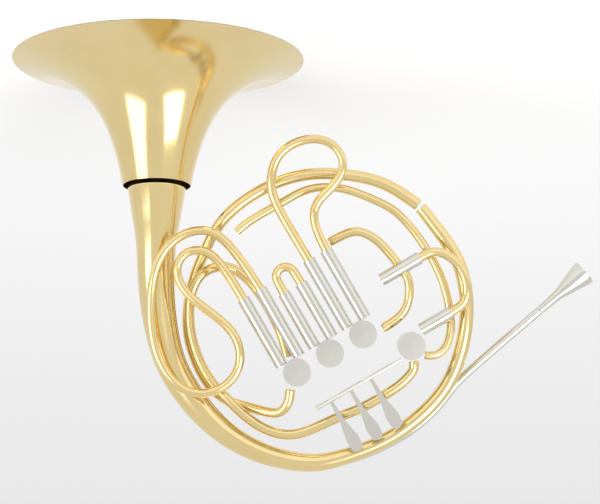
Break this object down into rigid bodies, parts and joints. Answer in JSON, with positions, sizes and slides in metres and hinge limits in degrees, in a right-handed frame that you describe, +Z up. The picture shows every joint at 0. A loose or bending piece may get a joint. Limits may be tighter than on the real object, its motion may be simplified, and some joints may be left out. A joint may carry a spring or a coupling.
{
  "type": "double french horn",
  "caption": "Rotary-valve horn standing on its flared bell, with pull-out slides, valve rotors and finger levers.",
  "frame": {"origin": "below the middle of the horn, on the surface that its bell rim stands on", "axes": "+Z up along the bell's axis, -X towards the mouthpiece, -Y to the side that shows the valve caps"},
  "size_m": [0.6156, 0.31, 0.4366],
  "materials": {
    "lacquered_brass": "clear lacquer, polished",
    "nickel_silver": "polished nickel silver"
  },
  "bodies": {
    "body": {"bell": "lacquered_brass", "bell_branch": "lacquered_brass", "change_loop": "lacquered_brass", "change_valve_cap": "nickel_silver", "change_valve_casing": "nickel_silver", "f_branch": "lacquered_brass", "first_slide_outer_left": "nickel_silver", "first_slide_outer_right": "nickel_silver", "first_valve_cap": "nickel_silver", "first_valve_casing": "nickel_silver", "inlet_branch": "lacquered_brass", "lever_axle": "nickel_silver", "main_slide_outer_lower": "nickel_silver", "main_slide_outer_upper": "nickel_silver", "mouthpipe": "nickel_silver", "second_branch": "lacquered_brass", "second_slide_outer_left": "nickel_silver", "second_slide_outer_right": "nickel_silver", "second_valve_cap": "nickel_silver", "second_valve_casing": "nickel_silver", "third_slide_outer_left": "nickel_silver", "third_slide_outer_right": "nickel_silver", "third_valve_cap": "nickel_silver", "third_valve_casing": "nickel_silver"},
    "first_slide": {"first_slide": "lacquered_brass"},
    "second_slide": {"second_slide": "lacquered_brass"},
    "third_slide": {"third_slide": "lacquered_brass"},
    "main_slide": {"main_slide": "lacquered_brass"},
    "mouthpiece": {"mouthpiece": "nickel_silver"},
    "first_lever": {"first_lever": "nickel_silver"},
    "second_lever": {"second_lever": "nickel_silver"},
    "third_lever": {"third_lever": "nickel_silver"},
    "first_rotor": {"first_valve_rotor": "nickel_silver"},
    "second_rotor": {"second_valve_rotor": "nickel_silver"},
    "third_rotor": {"third_valve_rotor": "nickel_silver"},
    "change_rotor": {"change_valve_rotor": "nickel_silver"}
  },
  "joints": [
    {"name": "first_slide_pull", "type": "slide", "parent": "body", "child": "first_slide", "axis": [0.5, -0.1801, -0.8471], "range_m": [0, 0.03]},
    {"name": "second_slide_pull", "type": "slide", "parent": "body", "child": "second_slide", "axis": [0.5, -0.1801, -0.8471], "range_m": [0, 0.015]},
    {"name": "third_slide_pull", "type": "slide", "parent": "body", "child": "third_slide", "axis": [0.5, -0.1801, -0.8471], "range_m": [0, 0.03]},
    {"name": "main_slide_pull", "type": "slide", "parent": "body", "child": "main_slide", "axis": [-0.866, -0.104, -0.4891], "range_m": [0, 0.02]},
    {"name": "mouthpiece_pull", "type": "slide", "parent": "body", "child": "mouthpiece", "axis": [-0.7606, -0.135, -0.6351], "range_m": [0, 0.02]},
    {"name": "first_lever_press", "type": "hinge", "parent": "body", "child": "first_lever", "pos_m": [-0.07146, -0.0019, 0.34247], "axis": [0.866, 0.104, 0.4891], "range_deg": [-10, 0], "stiffness_Nm_per_rad": 0.06, "springref_deg": 11.46},
    {"name": "second_lever_press", "type": "hinge", "parent": "body", "child": "second_lever", "pos_m": [-0.05076, 0.00058, 0.35416], "axis": [0.866, 0.104, 0.4891], "range_deg": [-10, 0], "stiffness_Nm_per_rad": 0.06, "springref_deg": 11.46},
    {"name": "third_lever_press", "type": "hinge", "parent": "body", "child": "third_lever", "pos_m": [-0.03023, 0.00305, 0.36575], "axis": [0.866, 0.104, 0.4891], "range_deg": [-10, 0], "stiffness_Nm_per_rad": 0.06, "springref_deg": 11.46},
    {"name": "first_rotor_turn", "type": "hinge", "parent": "body", "child": "first_rotor", "pos_m": [-0.0639, 0.01607, 0.29235], "axis": [0, -0.9781, 0.2079], "range_deg": [0, 90]},
    {"name": "second_rotor_turn", "type": "hinge", "parent": "body", "child": "second_rotor", "pos_m": [-0.02961, 0.02019, 0.31171], "axis": [0, -0.9781, 0.2079], "range_deg": [0, 90]},
    {"name": "third_rotor_turn", "type": "hinge", "parent": "body", "child": "third_rotor", "pos_m": [0.00469, 0.0243, 0.33108], "axis": [0, -0.9781, 0.2079], "range_deg": [0, 90]},
    {"name": "change_rotor_turn", "type": "hinge", "parent": "body", "child": "change_rotor", "pos_m": [-0.11418, 0.01858, 0.30416], "axis": [0, -0.9781, 0.2079], "range_deg": [0, 90]}
  ],
  "couplings": [
    {"joint": "first_rotor_turn", "follows": "first_lever_press", "ratio": -9},
    {"joint": "second_rotor_turn", "follows": "second_lever_press", "ratio": -9},
    {"joint": "third_rotor_turn", "follows": "third_lever_press", "ratio": -9}
  ]
}
